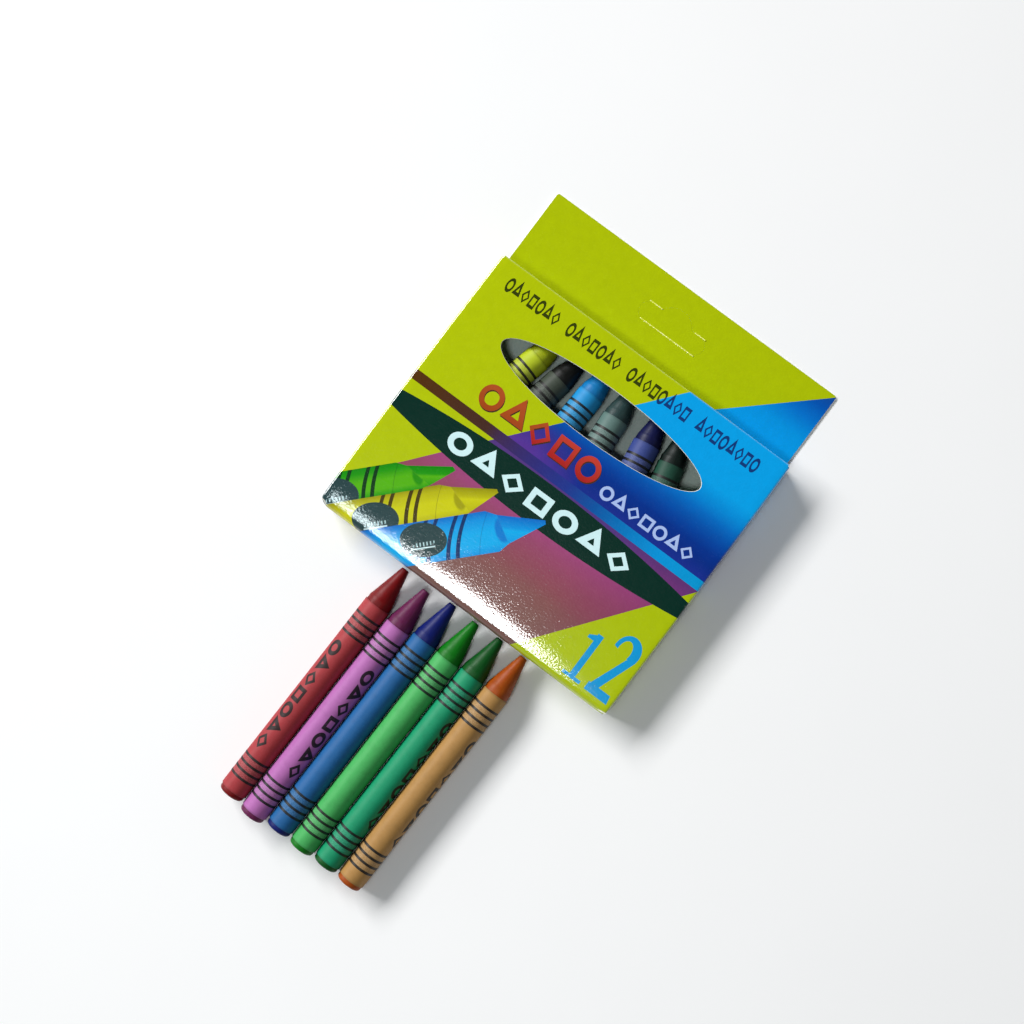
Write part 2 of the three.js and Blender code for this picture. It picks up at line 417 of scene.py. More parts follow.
def printedCount(maker):
    stem, foot, flag, neck, base = [maker.polygon(corners) for corners in countStrokes]
    bowl = maker.ellipse((48.0, -27.2), (4.2, 4.9)) & maker.ellipse((47.2, -27.6), (2.1, 3.4)) * -1
    bowl = bowl & maker.halfPlane((54.0, -30.4), (43.0, -27.6))
    return stem | foot | flag | bowl | neck | base


def pressed(maker, smooth, **coat):
    # what all print has: a little unevenness, pale wear along the folds, orange peel over fibres
    tone = maker.noise(0.35, 4, 0.6).between(0.3, 0.7)
    maker.paint(tone * 0.06, (0, 0, 0, 1))
    fold = 0.3  # how near a fold the wear begins
    edge = abs(maker.x) - (carton["half"] - fold) | fold - abs(abs(maker.y) - carton["end"])
    rub = edge.mask(1.2) * maker.noise(0.9, 4, 0.7).between(0.55, 0.8)
    maker.paint(rub * 0.3, linear((205, 205, 196)))
    peel = maker.bump(maker.noise(1.35, 2.5, 0.55), 0.6, 0.00006)
    normal = maker.bump(maker.noise(3.2, 3), 0.4, 0.00002, peel)
    return maker.finish(maker.noise(0.6, 3).scaled(0.12, smooth), normal, specular=0.2, **coat)


def frontPrint():
    maker = Maker("frontPrint", printGain)
    x, y = maker.x, maker.y
    right = maker.halfPlane(*artwork["diagonal"]).mask()
    farRight = maker.halfPlane(*artwork["cornerDiagonal"]).mask()
    dusk = x.between(6, -12) * y.between(15, 4)
    sky = maker.mix(dusk, maker.ramp(y, artwork["sky"]), (88, 52, 150))
    maker.colour = maker.mix(right, ground, sky)
    # below the stripe: violet, then the rosy field down to the bottom fold
    rose = maker.mix(x.between(44, 20).scaled(-0.4, 0.4), maker.ramp(y, artwork["rose"]), (120, 44, 92))
    low, high = artwork["stripe"]
    maker.paint((low - y).mask() * right, maker.mix(farRight, rose, (174, 193, 0)))
    maker.paint((y - low & high - y).mask(0.12), maker.ramp(x, artwork["stripeColours"]))
    bend = (artwork["lensHalf"] - artwork["lensEnd"]) / carton["half"] ** 2
    lens = (x * x).scaled(-bend, artwork["lensHalf"]) - abs(y - artwork["lensMiddle"])
    maker.paint(lens.mask(), artwork["lensColour"])
    # rows of plain shapes, the red one with a drop shade
    small = shapeRow(maker, x, y, artwork["smallRow"]).mask()
    maker.paint(small, maker.mix(right, (52, 62, 6), (16, 58, 122)))
    redInk = maker.mix(y.between(6, 13), (172, 34, 30), (196, 62, 48))
    redInk = maker.mix((1 - right) * 0.45, redInk, (150, 96, 0))
    maker.paint(shapeRow(maker, x - 0.35, y + 0.3, artwork["redRow"]).mask(), (74, 46, 30))
    for row, tint in (("redRow", redInk), ("lilacRow", (172, 194, 240)), ("whiteRow", (212, 246, 248))):
        maker.paint(shapeRow(maker, x, y, artwork[row]).mask(), tint)
    for picture in picturedCrayons:
        printedCrayon(maker, picture)
    maker.paint(printedCount(maker).mask(), (6, 152, 214))
    # hang tab
    tabRight = maker.halfPlane(*artwork["tabDiagonal"]).mask()
    tab = maker.mix(tabRight, (177, 194, 0), maker.ramp(y, artwork["tabSky"]))
    maker.paint((y - (carton["end"] + 0.35)).mask(), tab)
    return pressed(maker, 0.2, coat=1.0, coatRoughness=0.06, coatIor=2.0)


def backPrint():
    # The back: a plain field with a diagonal and one dot for each crayon of the set
    maker = Maker("backPrint", printGain)
    maker.colour = maker.mix(maker.halfPlane((30, -48), (-54, 52)).mask(), (0, 120, 200), ground)
    maker.paint((maker.y + 22 & -17 - maker.y).mask(), artwork["lensColour"])
    for index, (label, wax) in enumerate(crayonInks.values()):
        dot = maker.ellipse((-40 + (index % 6) * 16, 8 - (index // 6) * 15), (5, 5))
        maker.paint(dot.mask(), (236, 236, 228))
        maker.paint((dot - 0.6).mask(), label)
    return pressed(maker, 0.24, coat=0.7, coatRoughness=0.1)


def bareBoard():
    # uncoated inside of the board: grey-white pulp with darker fibres
    maker = Maker("bareBoard")
    pulp = maker.noise(1.4, 5, 0.65)
    maker.colour = maker.mix(pulp.between(0.35, 0.7), (202, 220, 212), (222, 232, 224))
    fleck = maker.noise(1.1, 3, 0.7, maker.stretched(maker.place, (0.35, 2.6, 1))).between(0.66, 0.78)
    maker.paint(fleck * 0.4, (140, 132, 116))
    return maker.finish(0.86, maker.bump(pulp, 0.5, 0.00004), specular=0.25)


def cutEdge():
    # die-cut edge: paler, with the layers of the board
    maker = Maker("cutEdge")
    layers = maker.noise(3.0, 3)
    maker.colour = maker.mix(layers, (232, 232, 222), (206, 206, 192))
    return maker.finish(0.8, maker.bump(layers, 0.6, 0.00003), specular=0.3)


cornerRadius = {"bottomLeft": 2.8, "bottomRight": 1.4, "top": 1.0}


def inScene(name, data):
    thing = bpy.data.objects.new(name, data)
    bpy.context.scene.collection.objects.link(thing)
    return thing


def smoothed(mesh, sharpAngle):
    mesh.polygons.foreach_set("use_smooth", [True] * len(mesh.polygons))
    mesh.set_sharp_from_angle(angle=math.radians(sharpAngle))


def meshPiece(name, points, faces, materials, faceMaterials=None, sharpAngle=38):
    mesh = bpy.data.meshes.new(name)
    mesh.from_pydata([Vector(p) * mm for p in points], [], faces)
    for material in materials:
        mesh.materials.append(material)
    if faceMaterials:
        mesh.polygons.foreach_set("material_index", faceMaterials)
    mesh.update()
    piece = inScene(name, mesh)
    smoothed(mesh, sharpAngle)
    return piece


def plain(piece, sharpAngle=38):
    # the piece with its modifiers made real
    bpy.context.view_layer.update()
    graph = bpy.context.evaluated_depsgraph_get()
    mesh = bpy.data.meshes.new_from_object(piece.evaluated_get(graph))
    piece.modifiers.clear()
    old = piece.data
    mesh.name = old.name
    piece.data = mesh
    bpy.data.meshes.remove(old)
    smoothed(mesh, sharpAngle)
    return piece


def thickened(piece, thickness, evenly=True):
    # from the outer face to a sheet of board: bare inside, cut edges all round
    solid = piece.modifiers.new("board", "SOLIDIFY")
    solid.thickness = thickness * mm
    solid.offset = -1
    solid.use_even_offset = evenly
    solid.material_offset = 1
    solid.material_offset_rim = 2
    return plain(piece)


def bowed(point):
    # the long sides swell a little between the ends, and the corners are rounded in plan
    x, y, z = point
    corner = cornerRadius["bottomLeft" if x < 0 else "bottomRight"] if y < 0 else cornerRadius["top"]
    inX, inY = abs(x) - carton["half"] + corner, abs(y) - carton["end"] + corner
    if inX > 0 and inY > 0 and abs(y) <= carton["end"] + 0.01:
        pull = max(inX, inY) / math.hypot(inX, inY)
        x = math.copysign(carton["half"] - corner + inX * pull, x)
        y = math.copysign(carton["end"] - corner + inY * pull, y)
    if abs(y) < carton["end"]:
        x *= 1 + carton["bow"] / carton["half"] * math.cos(math.pi * y / (2 * carton["end"]))
    return (x, y, z)


def arc(centre, radius, start, end, steps):
    # points of an arc in a plane, angles in degrees
    angles = [math.radians(start + (end - start) * i / steps) for i in range(steps + 1)]
    return [(centre[0] + radius * math.cos(a), centre[1] + radius * math.sin(a)) for a in angles]


def quarter(steps):
    # (sine, what the cosine has lost) on the way round a quarter turn
    angles = [math.pi / 2 * i / steps for i in range(1, steps + 1)]
    return [(math.sin(a), 1 - math.cos(a)) for a in angles]


def spaced(start, end, step):
    count = max(1, math.ceil(abs(end - start) / step))
    return [start + (end - start) * i / count for i in range(count + 1)]


def boardThrough(name, rows, skins, flip):
    # a sheet of board through rows of points, each row as long as the next
    width = len(rows[0])
    points = [bowed(p) for row in rows for p in row]
    faces = []
    for r in range(len(rows) - 1):
        for c in range(width - 1):
            a, b = r * width + c, (r + 1) * width + c
            quad = (a, a + 1, b + 1, b)
            faces.append(quad[::-1] if flip else quad)
    return thickened(meshPiece(name, points, faces, skins), carton["board"])


def filled(flat, solid, loops, keep, flip=False):
    # triangles over flat points, held to the loops, kept where keep(x, y) is true,
    # and lifted to the solid points
    edges = [(a, b) for loop in loops for a, b in zip(loop, loop[1:] + loop[:1])]
    found, _, faces, origin, _, _ = delaunay_2d_cdt([Vector(p) for p in flat], edges, [], 0, 1e-5)
    points = [solid[origin[i][0]] if origin[i] else None for i in range(len(found))]
    kept = []
    for face in faces:
        x = sum(found[i].x for i in face) / 3
        y = sum(found[i].y for i in face) / 3
        if keep(x, y) and all(points[i] for i in face):
            kept.append(tuple(reversed(face)) if flip else tuple(face))
    return [p or (0, 0, 0) for p in points], kept


def inLoop(loop):
    # test of a point against a closed outline
    def test(x, y):
        inside = False
        for (x0, y0), (x1, y1) in zip(loop, loop[1:] + loop[:1]):
            if (y0 > y) != (y1 > y) and x < (x1 - x0) * (y - y0) / (y1 - y0) + x0:
                inside = not inside
        return inside
    return test


bottomFold = {
    "start": -38.0,      # where the front begins to fall towards the bottom fold
    "lastSlope": 5.4,    # degrees, where the tight fold begins
    "power": 1.6,        # how late the fall begins
    "tight": 2.0,        # how far from the end that is
    "wall": 0.35,        # strip of the end wall that belongs to the front
    "steps": 16,
}


def bottomPath():
    # (y, z) from the flat of the front over the soft bottom fold
    y, z = bottomFold["start"], carton["face"]
    last, steps = -carton["end"] + bottomFold["tight"], bottomFold["steps"]
    path = [(y, z)]
    for i in range(steps):
        share = (i + 0.5) / steps
        slope = math.tan(math.radians(bottomFold["lastSlope"] * share ** bottomFold["power"]))
        step = (y - last) / (steps - i)
        y, z = y - step, z - step * slope
        path.append((y, z))
    radius = bottomFold["tight"] / (1 - math.sin(math.radians(bottomFold["lastSlope"])))
    centre = (-carton["end"] + radius, z - radius * math.cos(math.radians(bottomFold["lastSlope"])))
    path += arc(centre, radius, 90 + bottomFold["lastSlope"], 180, 10)[1:]
    path.append((-carton["end"], path[-1][1] - bottomFold["wall"]))
    return path


foldPath = bottomPath()


def dropAt(y):
    # how far the front has fallen at y
    ys = [-p[0] for p in foldPath]
    if -y <= ys[0]:
        return 0.0
    i = min(bisect.bisect_left(ys, -y), len(ys) - 1)
    (y0, z0), (y1, z1) = foldPath[i - 1], foldPath[i]
    share = (y0 - y) / (y0 - y1) if y0 != y1 else 0
    return carton["face"] - (z0 + (z1 - z0) * share)


def acrossPath():
    # (s, x, fall) from the left seam over both long folds to the right seam
    radius = carton["frontFold"]
    flatHalf = carton["half"] - radius
    right = []
    for i, (out, fall) in enumerate(quarter(7), 1):
        right.append((flatHalf + radius * math.pi / 2 * i / 7, flatHalf + radius * out, radius * fall))
    wall = carton["face"] - radius - carton["frontSeam"]
    right.append((right[-1][0] + wall, carton["half"], radius + wall))
    left = [(-s, -x, fall) for s, x, fall in reversed(right)]
    return left + [(x, x, 0.0) for x in spaced(-flatHalf, flatHalf, carton["grid"])] + right


def windowPoint(k, margin):
    a = 2 * math.pi * k / window["steps"]
    return (window["x"] + (window["halfWidth"] + margin) * math.cos(a),
            window["y"] + (window["halfHeight"] + margin) * math.sin(a))


def pastWindow(x, y, margin):
    across = (x - window["x"]) / (window["halfWidth"] + margin)
    along = (y - window["y"]) / (window["halfHeight"] + margin)
    return across ** 2 + along ** 2 > 1


def frontFace(skins):
    across = acrossPath()
    along = [(y, y, 0.0) for y in reversed(spaced(bottomFold["start"], carton["end"] - 0.8, carton["grid"]))]
    t = bottomFold["start"]
    for (y0, z0), (y1, z1) in zip(foldPath, foldPath[1:]):
        t -= math.hypot(y1 - y0, z1 - z0)
        along.append((t, y1, carton["face"] - z1))

    def lifted(x, y, fall):
        swell = math.cos(math.pi * x / (2 * carton["half"])) * math.cos(math.pi * y / (2 * carton["end"]))
        return bowed((x, y, carton["face"] - fall + max(0.0, carton["crown"] * swell)))

    flat, solid, index = [], [], {}
    for i, (s, x, fallX) in enumerate(across):
        for j, (t, y, fallY) in enumerate(along):
            if pastWindow(x, y, window["clear"]):
                index[i, j] = len(flat)
                flat.append((s, t))
                solid.append(lifted(x, y, fallX + fallY))
    lastI, lastJ = len(across) - 1, len(along) - 1
    rim = [(i, 0) for i in range(lastI)] + [(lastI, j) for j in range(lastJ)]
    rim += [(i, lastJ) for i in range(lastI, 0, -1)] + [(0, j) for j in range(lastJ, 0, -1)]
    outer = [index[key] for key in rim]
    steps = window["steps"]
    hole = list(range(len(flat), len(flat) + steps))
    for k in range(steps):
        flat.append(windowPoint(k, window["edge"]))
        solid.append(lifted(*flat[-1], 0))
    points, faces = filled(flat, solid, [outer, hole], lambda x, y: pastWindow(x, y, window["edge"]))
    # the pressed rim, from the hole's edge down to the window's own
    lookup = {}
    for i, p in enumerate(points):
        lookup.setdefault(tuple(round(c, 5) for c in p), i)
    ring = [lookup[tuple(round(c, 5) for c in solid[k])] for k in hole]
    first = len(points)
    points += [lifted(*windowPoint(k, 0), window["edgeDrop"]) for k in range(steps)]
    marks = [0] * len(faces) + [2] * steps
    for k in range(steps):
        n = (k + 1) % steps
        faces.append((ring[n], first + n, first + k, ring[k]))
    return thickened(meshPiece("front_face", points, faces, skins, marks), carton["board"], False)


slot = {
    "low": plugLow.y - 0.25,
    "half": plugHigh.x + 0.25,
    "height": 6.2,
    "bumpHalf": 5.5,
    "bumpRise": plugHigh.y - plugLow.y + 0.5 - 6.2,
    "cut": 0.012,        # half the width of the scored cut
    "plugProud": 0.02,   # how much thicker the plug is than the board
    "burr": 0.2,
    "burrStep": 0.5,
}


def slotOutline(shrink):
    # hang slot: a bar with round ends and a raised middle
    half = slot["half"] - shrink
    low, high = slot["low"] + shrink, slot["low"] + slot["height"] - shrink
    radius = (high - low) / 2
    chord = slot["bumpHalf"] - shrink
    bumpRadius = (chord ** 2 + slot["bumpRise"] ** 2) / (2 * slot["bumpRise"])
    bumpY = high + slot["bumpRise"] - bumpRadius
    bumpAngle = math.degrees(math.atan2(high - bumpY, chord))
    outline = [(x, low) for x in spaced(-half + radius, half - radius, 1.5)]
    outline += arc((half - radius, low + radius), radius, -90, 90, 10)[1:]
    outline += arc((0, bumpY), bumpRadius, bumpAngle, 180 - bumpAngle, 12)
    outline += arc((-half + radius, low + radius), radius, 90, 270, 10)[:-1]
    return outline


def flatBoard(name, outline, holes, spacing, thickness, skins, front):
    # a flat sheet of any outline that faces down, printed on its front too above the top fold
    inside, inHoles = inLoop(outline), [inLoop(hole) for hole in holes]
    flat, loops = [], []
    for loop in [outline] + holes:
        loops.append(list(range(len(flat), len(flat) + len(loop))))
        flat += loop
    edges = list(flat)

    def keep(x, y):
        return inside(x, y) and not any(test(x, y) for test in inHoles)

    xs, ys = [p[0] for p in outline], [p[1] for p in outline]
    for x in spaced(min(xs), max(xs), spacing):
        for y in spaced(min(ys), max(ys), spacing):
            if keep(x, y) and min((x - ex) ** 2 + (y - ey) ** 2 for ex, ey in edges) > (spacing * 0.4) ** 2:
                flat.append((x, y))
    points, faces = filled(flat, [(x, y, backLow.z) for x, y in flat], loops, keep, True)
    piece = thickened(meshPiece(name, [bowed(p) for p in points], faces, skins), thickness)
    piece.data.materials.append(front)
    for face in piece.data.polygons:
        if face.normal.z > 0.5 and face.center.y > (carton["end"] + 0.1) * mm:
            face.material_index = len(skins)
    return piece


def backAndTab(skins, front):
    half = carton["half"] - carton["backFold"] - 0.2
    top, corner, step = backHigh.y, 0.8, 3
    low, end = -carton["end"], carton["end"]
    outline = [(x, low) for x in spaced(-half, half, step)]
    outline += [(half, y) for y in spaced(low, end - 0.3, step)][1:]
    outline += [(tabHalf, end)] + [(tabHalf, y) for y in spaced(end, top - corner, step)][1:]
    outline += arc((tabHalf - corner, top - corner), corner, 0, 90, 5)[1:]
    outline += [(x, top) for x in spaced(tabHalf - corner, -tabHalf + corner, step)][1:]
    outline += arc((-tabHalf + corner, top - corner), corner, 90, 180, 5)[1:]
    outline += [(-tabHalf, y) for y in spaced(top - corner, end, step)][1:]
    outline += [(-half, y) for y in spaced(end - 0.3, low, step)][:-1]
    hole = slotOutline(-slot["cut"])
    return flatBoard("back_and_tab", outline, [hole], 3.0, carton["board"], skins, front)


def slotPlug(skins, front):
    thickness = carton["board"] + slot["plugProud"]
    return flatBoard("slot_plug", slotOutline(slot["cut"]), [], 2.0, thickness, skins, front)


def sideWall(name, sign, skins):
    radius = carton["backFold"]
    end = flapHigh.y - carton["board"]
    down = [(carton["half"], z) for z in spaced(carton["frontSeam"], radius, 1.4)]
    down += arc((carton["half"] - radius, radius), radius, 0, -90, 6)[1:]
    down.append((carton["half"] - radius - 0.2, 0))
    rows = []
    for y in spaced(-end, end, carton["grid"]):
        shares = [max(0.0, (z - radius) / (carton["frontSeam"] - radius)) for x, z in down]
        rows.append([(sign * x, y, z - dropAt(y) * share) for (x, z), share in zip(down, shares)])
    return boardThrough(name, rows, skins, sign < 0)


def dustFlap(where, skins):
    low, high = boxOf(where + "_dust_flap")
    sideX = 1 if low.x > 0 else -1
    sideY = 1 if low.y > 0 else -1
    outY = max(abs(low.y), abs(high.y))
    inX = min(abs(low.x), abs(high.x))
    radius, taper, rounding = carton["flapFold"], 1.2, 1
    path = [(carton["half"], outY - radius)]
    path += arc((carton["half"] - radius, outY - radius), radius, 0, 90, 6)[1:]
    path += [(x, outY) for x in spaced(carton["half"] - radius, inX + rounding, 1.0)][1:]
    places = []
    for x, y in path:
        share = max(0.0, (carton["half"] - 1 - x) / (carton["half"] - 1 - inX))
        places.append((x, y, taper * share))
    for out, cut in quarter(6)[:-1]:  # rounded free end
        places.append((inX + rounding - out, outY, taper + cut))
    rows = []
    for x, y, cut in places:
        bottom, top = low.z + cut, high.z - cut
        rows.append([(sideX * x, sideY * y, bottom + (top - bottom) * i / 6) for i in range(7)])
    return boardThrough("dust_flap_" + where, rows, skins, sideX * sideY > 0)


def endLid(name, sign, path, skins):
    # a wall across the carton's end; path is (y, z, half width) from the front's edge down
    rows = [[(x, sign * y, z) for x in spaced(-half, half, half / 14)] for y, z, half in path]
    return boardThrough(name, rows, skins, sign < 0)


def topLid(skins):
    radius, end = carton["lidFold"], carton["end"]
    foldHalf = carton["half"] - carton["frontFold"]
    path = [(y, z, foldHalf) for y, z in arc((end - radius, carton["face"] - radius), radius, 90, 0, 8)]
    low = lidLow.z + carton["lidGap"]
    path += [(end, z, lidHigh.x) for z in spaced(carton["face"] - radius - 0.3, low, carton["wallGrid"])]
    return endLid("top_lid", 1, path, skins)


def bottomLid(skins):
    end, start = carton["end"], foldPath[-1][1]
    shoulder = start - (carton["face"] - carton["frontSeam"]) - 0.1
    path = [(end, z, carton["half"] - carton["frontFold"]) for z in spaced(start, shoulder, 0.5)]
    low = lidLow.z + carton["lidGap"]
    path += [(end, z, lidHigh.x) for z in spaced(shoulder - 0.25, low, carton["wallGrid"])]
    return endLid("bottom_end", -1, path, skins)


def tuckedFlap(name, sign, reach, half, corner, skins):
    # the fold at the lid's free edge and the tongue or lip behind it
    end, low, radius = carton["end"], lidLow.z, carton["flapFold"]
    flatEnd = reach + corner
    path = arc((end - radius, low + radius), radius, 0, -90, 6)
    path += [(y, low) for y in spaced(end - radius, flatEnd, 1.0)][1:]
    rows = [(y, z, half) for y, z in path]
    rows += [(flatEnd - corner * out, low, half - corner * cut) for out, cut in quarter(6)]
    return endLid(name, sign, rows, skins)


def newTree(name, sockets):
    # an empty Geometry Nodes tree with its named inputs, and a way to add nodes to it
    tree = bpy.data.node_groups.new(name, "GeometryNodeTree")
    for key, kind in {"Geometry": "Geometry", **sockets, "Finish": "Material"}.items():
        tree.interface.new_socket(key, in_out="INPUT", socket_type="NodeSocket" + kind)
    tree.interface.new_socket("Geometry", in_out="OUTPUT", socket_type="NodeSocketGeometry")

    def add(kind, inputs, **settings):
        return addNode(tree, "GeometryNode" + kind, inputs, **settings).outputs[0]

    return tree, add, tree.nodes.new("NodeGroupInput").outputs


def endTree(tree, add, geometry, given):
    painted = add("SetMaterial", {"Geometry": geometry, "Material": given["Finish"]})
    put(tree, painted, tree.nodes.new("NodeGroupOutput").inputs[0])
    return tree


def grown(name, points, edges, tree, values, sharpAngle):
    # the plain mesh that a tree makes from points and edges
    mesh = bpy.data.meshes.new(name)
    mesh.from_pydata(points, edges, [])
    piece = inScene(name, mesh)
    modifier = piece.modifiers.new("tree", "NODES")
    modifier.node_group = tree
    for item in tree.interface.items_tree:
        if item.in_out == "INPUT" and item.name in values:
            modifier[item.identifier] = values[item.name]
    return plain(piece, sharpAngle)


def scoreTree():
    # Geometry Nodes: the pressed-up burr that follows the scored cut
    tree, add, given = newTree("scoreBurr", {"Burr Radius": "Float", "Step": "Float"})
    curve = add("MeshToCurve", {0: given["Geometry"]})
    curve = add("ResampleCurve", {"Curve": curve, "Length": given["Step"]}, mode="LENGTH")
    uneven = addNode(tree, "ShaderNodeTexNoise", {"Scale": 900}).outputs[0]
    uneven = addNode(tree, "ShaderNodeMapRange", {0: uneven, 3: 0.7, 4: 1.25}).outputs[0]
    curve = add("SetCurveRadius", {"Curve": curve, "Radius": uneven})
    section = add("CurvePrimitiveCircle", {"Resolution": 8, "Radius": given["Burr Radius"]})
    tube = add("CurveToMesh", {"Curve": curve, "Profile Curve": section, "Fill Caps": True})
    return endTree(tree, add, add("RealizeInstances", {0: tube}), given)


def burrInkAndHighlight():
    # print pressed up and cracked to paler ink, its colour also lifted to near white as a painted highlight
    # of the glint along the cut
    maker = Maker("burrInkAndHighlight")
    crack = maker.noise(2.2, 3).between(0.45, 0.6)
    # painted highlight: both tints, up to near white, are much paler than the print around them
    maker.colour = maker.mix(crack, (226, 232, 60), (255, 255, 170))
    return maker.finish(0.22, maker.bump(crack, 0.4, 0.00003), coat=0.8, coatRoughness=0.1)


def scoreBurr():
    # stretches of the slot where the cut stands up: its base and both ends of its top
    top = backLow.z + carton["board"] + slot["plugProud"]
    low, high = slot["low"], slot["low"] + slot["height"]
    half, bump = slot["half"], slot["bumpHalf"]
    runs = [(low, 2.2 - half, half - 1.4), (high, 1.6 - half, -bump - 0.2), (high, bump + 1.2, half - 1.2)]
    points, edges = [], []
    for y, start, end in runs:
        stretch = [Vector((x, y, top)) * mm for x in spaced(start, end, 1.0)]
        edges += [(len(points) + i, len(points) + i + 1) for i in range(len(stretch) - 1)]
        points += stretch
    values = {"Burr Radius": slot["burr"] * mm, "Step": slot["burrStep"] * mm, "Finish": burrInkAndHighlight()}
    return grown("score_burr", points, edges, scoreTree(), values, 60)


def fit(piece, body, slotName, *replaced):
    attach(piece, body)
    if replaced:
        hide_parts(*replaced)


def buildCarton():
    bare, edge = bareBoard(), cutEdge()
    front = frontPrint()
    skins = [front, bare, edge]
    backSkins = [backPrint(), bare, edge]
    fit(frontFace(skins), "carton", "front_print", "front_panel")
    fit(backAndTab(backSkins, front), "carton", "back_print", "back_panel")
    fit(slotPlug(backSkins, front), "carton", "back_print", "hang_slot_plug")
    fit(sideWall("left_side", -1, skins), "carton", "left_side_print", "left_side_panel")
    fit(sideWall("right_side", 1, skins), "carton", "right_side_print", "right_side_panel")
    fit(bottomLid(skins), "carton", "bottom_print", "bottom_closure")
    fit(scoreBurr(), "carton", "front_print")
    reach = max(-lipHigh.y, -lipLow.y) - (lipHigh.y - lipLow.y)
    lip = tuckedFlap("bottom_lip", -1, reach, lipHigh.x, 0.6, skins)
    fit(lip, "carton", "bare_board", "bottom_glued_lip")
    for where in ("top_left", "top_right", "bottom_left", "bottom_right"):
        fit(dustFlap(where, skins), "carton", "bare_board", where + "_dust_flap")
    nodes["glue_flap"].data.materials.clear()
    nodes["glue_flap"].data.materials.append(bare)

    lid = topLid(skins)
    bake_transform(lid)
    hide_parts("top_closure")
    tongue = tuckedFlap("tuck_tongue", 1, tongueLow.y, tongueHigh.x, 3.0, skins)
    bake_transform(tongue)
    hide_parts("top_tuck_tongue")
    print("carton built")


crayonInks = {  # paper, wax
    "yellow": ((200, 218, 28), (184, 200, 18)),
    "black": ((64, 74, 62), (12, 14, 12)),
    "sky_blue": ((20, 156, 226), (12, 134, 208)),
    "grey": ((98, 130, 124), (44, 70, 70)),
    "navy": ((58, 76, 150), (12, 18, 74)),
    "dark_green": ((26, 78, 60), (6, 22, 18)),
    "red": ((178, 52, 58), (132, 0, 4)),
    "violet": ((194, 112, 188), (112, 30, 82)),
    "blue": ((20, 102, 168), (0, 20, 112)),
    "light_green": ((72, 188, 96), (0, 128, 12)),
    "teal": ((0, 158, 108), (0, 88, 22)),
    "orange": ((190, 142, 76), (180, 78, 0)),
}
paperGain = 0.7
waxGain = 0.66
# where each label's row of shapes faces: 0 is up, 90 is to the right
labelTurn = {"yellow": 150, "black": 170, "sky_blue": 185, "grey": 160, "navy": 175, "dark_green": 190,
             "red": -30, "violet": 34, "blue": 180, "light_green": 172, "teal": 62, "orange": 70}
wrapper = {
    "radius": 4.4, "inner": 4.13, "start": 1.8, "end": 73.1, "worn": 0.06,
    "firstBand": 4.7, "bandPitch": 2.33, "bandWidth": 0.8, "bandCount": 4, "bandDepth": 0.08,
    "rowStart": 14.8, "rowEnd": 56.4, "rowHeight": 4.0, "segments": 72,
    "seamTurn": 165, "overlap": 0.015, "overlapAngle": 0.75,
}
stick = {
    "radius": 4.1, "length": 87.0, "buttRound": 0.9, "neckEnd": 75.3, "shoulder": 3.78,
    "shoulderDrop": 0.45, "tipRadius": 1.35, "tipRound": 0.4, "tipFlat": 0.45, "segments": 64,
    "rings": (1.3, 2.4, 12.0, 30.0, 50.0, 66.0, 72.4, 73.4, 74.2),
}


def crayonPlace(name):
    # matrix that takes a crayon along +Z, butt at the origin and up as +X, to its place in the frame
    axis = Vector(joints["crayon_" + name]["axis"]).normalized()
    if axis.y < 0:
        axis = -axis
    up = Vector((0, 0, 1))
    side = axis.cross(up)
    corners = [v.co * 1000 for v in nodes[f"crayon_{name}_wax"].data.vertices]

    def spread(direction):
        values = [p.dot(direction) for p in corners]
        return min(values), max(values)

    butt = axis * spread(axis)[0] + side * (sum(spread(side)) / 2) + up * (sum(spread(up)) / 2)
    return Matrix.Translation(butt) @ Matrix((up, side, axis)).transposed().to_4x4()


def lathed(name, profile, segments, place, material, wobble, closedEnds):
    # turns (radius, along) points round the axis; the ends close on the axis, or the profile closes on itself
    points, faces, around = [], [], []
    for radius, along in profile:
        for k in range(segments):
            a = 2 * math.pi * k / segments
            r = radius + wobble(a, along) * (1 if radius > 0.5 else 0)
            points.append((r * math.cos(a), r * math.sin(a), along))
    rings = len(profile)
    for i in range(rings - 1 if closedEnds else rings):
        j = (i + 1) % rings
        for k in range(segments):
            n = (k + 1) % segments
            faces.append((i * segments + k, i * segments + n, j * segments + n, j * segments + k))
            around.append(k)
    for ring, order in ((0, -1), (rings - 1, 1)) if closedEnds else ():
        centre = len(points)
        points.append((0, 0, profile[ring][1]))
        for k in range(segments):
            face = (ring * segments + k, ring * segments + (k + 1) % segments, centre)
            faces.append(face[::order])
            around.append(k)
    piece = meshPiece(name, [place @ Vector(p) for p in points], faces, [material], sharpAngle=30)
    layer = piece.data.uv_layers.new(name="wrap")
    for face, k in zip(piece.data.polygons, around):
        for loopIndex in face.loop_indices:
            vertex = piece.data.loops[loopIndex].vertex_index
            turn = (vertex % segments) / segments if vertex < rings * segments else (k + 0.5) / segments
            if k == segments - 1 and turn < 0.5:
                turn += 1
            layer.data[loopIndex].uv = (turn, points[vertex][2] / stick["length"])
    return piece


